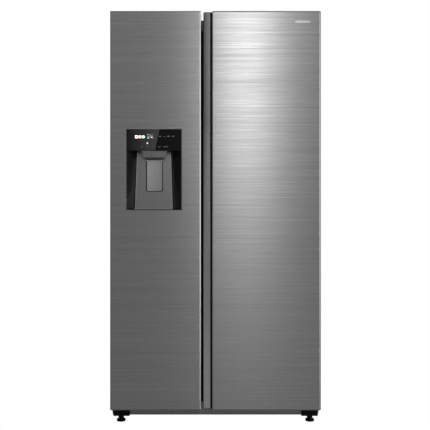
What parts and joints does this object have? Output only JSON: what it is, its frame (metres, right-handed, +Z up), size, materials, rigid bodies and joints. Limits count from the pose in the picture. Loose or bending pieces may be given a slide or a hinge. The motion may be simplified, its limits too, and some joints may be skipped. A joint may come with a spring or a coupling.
{
  "type": "side by side refrigerator",
  "caption": "Tall free-standing refrigerator with side by side doors, full-height grip recess between them, and an ice and water dispenser in the left door.",
  "frame": {"origin": "on the floor under the middle of the whole body", "axes": "+Z up, -Y out of the doors, +X to the right for someone facing the doors"},
  "size_m": [0.895, 0.745, 1.765],
  "materials": {
    "painted_steel": "fine textured grey paint",
    "galvanised_steel": "satin galvanised sheet",
    "foam": "rigid foamed insulation",
    "liner_plastic": "white vacuum formed sheet, semi gloss",
    "trim_steel": "grey painted strip",
    "kick_steel": "grey satin paint",
    "black_steel": "black paint",
    "zinc_steel": "zinc plated",
    "cover_plastic": "fine grained grey moulding",
    "condenser_steel": "black enamelled tube",
    "clear_plastic": "translucent pale blue moulding",
    "motor_plastic": "black moulding",
    "valve_plastic": "white moulding",
    "black_rubber": "matt black",
    "fin_aluminium": "bare fins and tube",
    "shelf_glass": "toughened clear glass",
    "light_lens": "frosted lens",
    "white_plastic": "white moulding",
    "mould_aluminium": "cast mould with a coated surface",
    "roller_plastic": "dark moulding",
    "foot_plastic": "black moulding",
    "brushed_steel": "horizontal brushing under a clear coat",
    "cap_plastic": "grey moulding",
    "gasket_rubber": "grey flexible seal",
    "grip_dark": "dark grey extrusion",
    "grip_steel": "grey satin strip",
    "gloss_black": "piano black",
    "panel_glass": "black glass-like panel",
    "spout_grey": "satin grey moulding",
    "tray_grey": "satin grey moulding",
    "paddle_grey": "satin grey moulding",
    "badge_metal": "bright satin metal"
  },
  "bodies": {
    "cabinet": {"cabinet_shell": "painted_steel", "cabinet_back": "galvanised_steel", "cabinet_foam": "foam", "freezer_liner": "liner_plastic", "fridge_liner": "liner_plastic", "mullion_trim": "trim_steel", "base_frame": "galvanised_steel", "kick_plate": "kick_steel", "bottom_hinges": "black_steel", "top_hinges": "zinc_steel", "hinge_covers": "cover_plastic", "rear_cover": "galvanised_steel", "compressor": "black_steel", "condenser": "condenser_steel", "drain_pan": "clear_plastic", "motors": "motor_plastic", "water_valve": "valve_plastic", "cord_gland": "black_rubber", "evaporator": "fin_aluminium", "evaporator_cover": "liner_plastic", "fridge_air_duct": "liner_plastic", "freezer_shelves": "shelf_glass", "fridge_shelves": "shelf_glass", "interior_lights": "light_lens", "water_filter": "white_plastic", "ice_maker": "mould_aluminium", "ice_bucket": "clear_plastic"},
    "freezer_door": {"freezer_door_skin": "brushed_steel", "freezer_door_foam": "foam", "freezer_door_liner": "liner_plastic", "freezer_door_caps": "cap_plastic", "freezer_door_gasket": "gasket_rubber", "freezer_door_handle": "grip_dark", "freezer_door_bins": "clear_plastic", "dispenser_housing": "gloss_black", "dispenser_panel": "panel_glass", "dispenser_spout": "spout_grey", "dispenser_tray": "tray_grey"},
    "fridge_door": {"fridge_door_skin": "brushed_steel", "fridge_door_foam": "foam", "fridge_door_liner": "liner_plastic", "fridge_door_caps": "cap_plastic", "fridge_door_gasket": "gasket_rubber", "fridge_door_handle": "grip_steel", "fridge_door_bins": "clear_plastic", "badge": "badge_metal"},
    "dispenser_paddle": {"dispenser_paddle": "paddle_grey"},
    "chute_flap": {"chute_flap": "white_plastic"},
    "dairy_lid": {"dairy_lid": "clear_plastic"},
    "ice_auger": {"ice_auger": "white_plastic"},
    "evaporator_fan": {"evaporator_fan": "white_plastic"},
    "condenser_fan": {"condenser_fan": "motor_plastic"},
    "roller_left": {"roller_left": "roller_plastic"},
    "roller_right": {"roller_right": "roller_plastic"},
    "foot_left": {"foot_left": "foot_plastic"},
    "foot_right": {"foot_right": "foot_plastic"},
    "freezer_drawer_upper": {"freezer_drawer_upper": "clear_plastic"},
    "freezer_drawer_lower": {"freezer_drawer_lower": "clear_plastic"},
    "crisper_upper": {"crisper_upper": "clear_plastic"},
    "crisper_lower": {"crisper_lower": "clear_plastic"}
  },
  "joints": [
    {"name": "freezer_door_hinge", "type": "hinge", "parent": "cabinet", "child": "freezer_door", "pos_m": [-0.4255, -0.3275, 0.9], "axis": [0, 0, -1], "range_deg": [0, 110]},
    {"name": "fridge_door_hinge", "type": "hinge", "parent": "cabinet", "child": "fridge_door", "pos_m": [0.4255, -0.3275, 0.9], "axis": [0, 0, 1], "range_deg": [0, 110]},
    {"name": "freezer_drawer_upper_slide", "type": "slide", "parent": "cabinet", "child": "freezer_drawer_upper", "axis": [0, -1, 0], "range_m": [0, 0.085]},
    {"name": "freezer_drawer_lower_slide", "type": "slide", "parent": "cabinet", "child": "freezer_drawer_lower", "axis": [0, -1, 0], "range_m": [0, 0.085]},
    {"name": "crisper_upper_slide", "type": "slide", "parent": "cabinet", "child": "crisper_upper", "axis": [0, -1, 0], "range_m": [0, 0.085]},
    {"name": "crisper_lower_slide", "type": "slide", "parent": "cabinet", "child": "crisper_lower", "axis": [0, -1, 0], "range_m": [0, 0.085]},
    {"name": "paddle_pivot", "type": "hinge", "parent": "freezer_door", "child": "dispenser_paddle", "pos_m": [-0.263, -0.3035, 1.138], "axis": [1, 0, 0], "range_deg": [0, 6], "stiffness_Nm_per_rad": 0.25, "springref_deg": -17.19},
    {"name": "chute_flap_pivot", "type": "hinge", "parent": "freezer_door", "child": "chute_flap", "pos_m": [-0.26, -0.2782, 1.342], "axis": [-1, 0, 0], "range_deg": [0, 36]},
    {"name": "dairy_lid_hinge", "type": "hinge", "parent": "fridge_door", "child": "dairy_lid", "pos_m": [0.18, -0.1775, 1.588], "axis": [1, 0, 0], "range_deg": [0, 90]},
    {"name": "ice_auger_spin", "type": "hinge", "parent": "cabinet", "child": "ice_auger", "pos_m": [-0.26, 0, 1.313], "axis": [0, 1, 0], "continuous": true},
    {"name": "evaporator_fan_spin", "type": "hinge", "parent": "cabinet", "child": "evaporator_fan", "pos_m": [-0.24175, 0.252, 0.96], "axis": [0, 1, 0], "continuous": true},
    {"name": "condenser_fan_spin", "type": "hinge", "parent": "cabinet", "child": "condenser_fan", "pos_m": [0.07, 0.258, 0.14], "axis": [1, 0, 0], "continuous": true},
    {"name": "roller_left_spin", "type": "hinge", "parent": "cabinet", "child": "roller_left", "pos_m": [-0.395, 0.3, 0.02], "axis": [1, 0, 0], "continuous": true},
    {"name": "roller_right_spin", "type": "hinge", "parent": "cabinet", "child": "roller_right", "pos_m": [0.395, 0.3, 0.02], "axis": [1, 0, 0], "continuous": true},
    {"name": "foot_left_screw", "type": "slide", "parent": "cabinet", "child": "foot_left", "axis": [0, 0, -1], "range_m": [0, 0.01]},
    {"name": "foot_right_screw", "type": "slide", "parent": "cabinet", "child": "foot_right", "axis": [0, 0, -1], "range_m": [0, 0.01]}
  ],
  "couplings": [
    {"joint": "chute_flap_pivot", "follows": "paddle_pivot", "ratio": 6}
  ]
}
